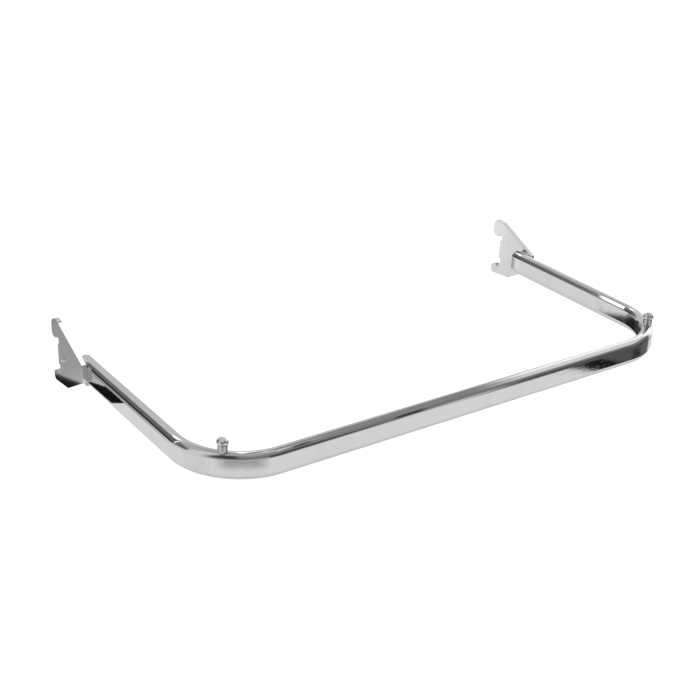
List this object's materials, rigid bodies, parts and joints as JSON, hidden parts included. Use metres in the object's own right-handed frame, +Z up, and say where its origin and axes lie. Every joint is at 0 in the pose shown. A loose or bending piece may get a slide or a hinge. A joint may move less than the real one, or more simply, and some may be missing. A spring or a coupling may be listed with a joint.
{
  "type": "hook-in hanging rail",
  "caption": "U-shaped hanging rail in flat-oval chrome tube, with end stops on its bends and hook plates that hang in slotted uprights.",
  "frame": {"origin": "midway between the two hook plates, on the uprights' front faces, at the tube's mid height", "axes": "+X runs along the front bar to the right as seen from the front, +Y points back into the uprights, and +Z is up"},
  "size_m": [0.6692, 0.3525, 0.0783],
  "materials": {
    "rail_chrome": "polished plating over drawn steel tube",
    "plate_chrome": "polished plating over stamped steel plate",
    "weld_bead": "plated over a rippled weld",
    "stud_chrome": "polished plating",
    "bush_zinc": "zinc plated",
    "collar_chrome": "polished plating over turned steel",
    "screw_chrome": "polished plating over turned steel"
  },
  "bodies": {
    "root": {"rail_tube": "rail_chrome", "left_hook_plate": "plate_chrome", "right_hook_plate": "plate_chrome", "left_weld_beads": "weld_bead", "right_weld_beads": "weld_bead", "left_plate_stud": "stud_chrome", "right_plate_stud": "stud_chrome", "left_threaded_bush": "bush_zinc", "right_threaded_bush": "bush_zinc", "left_stop_collar": "collar_chrome", "right_stop_collar": "collar_chrome", "left_stop_screw": "screw_chrome", "right_stop_screw": "screw_chrome"}
  },
  "joints": []
}
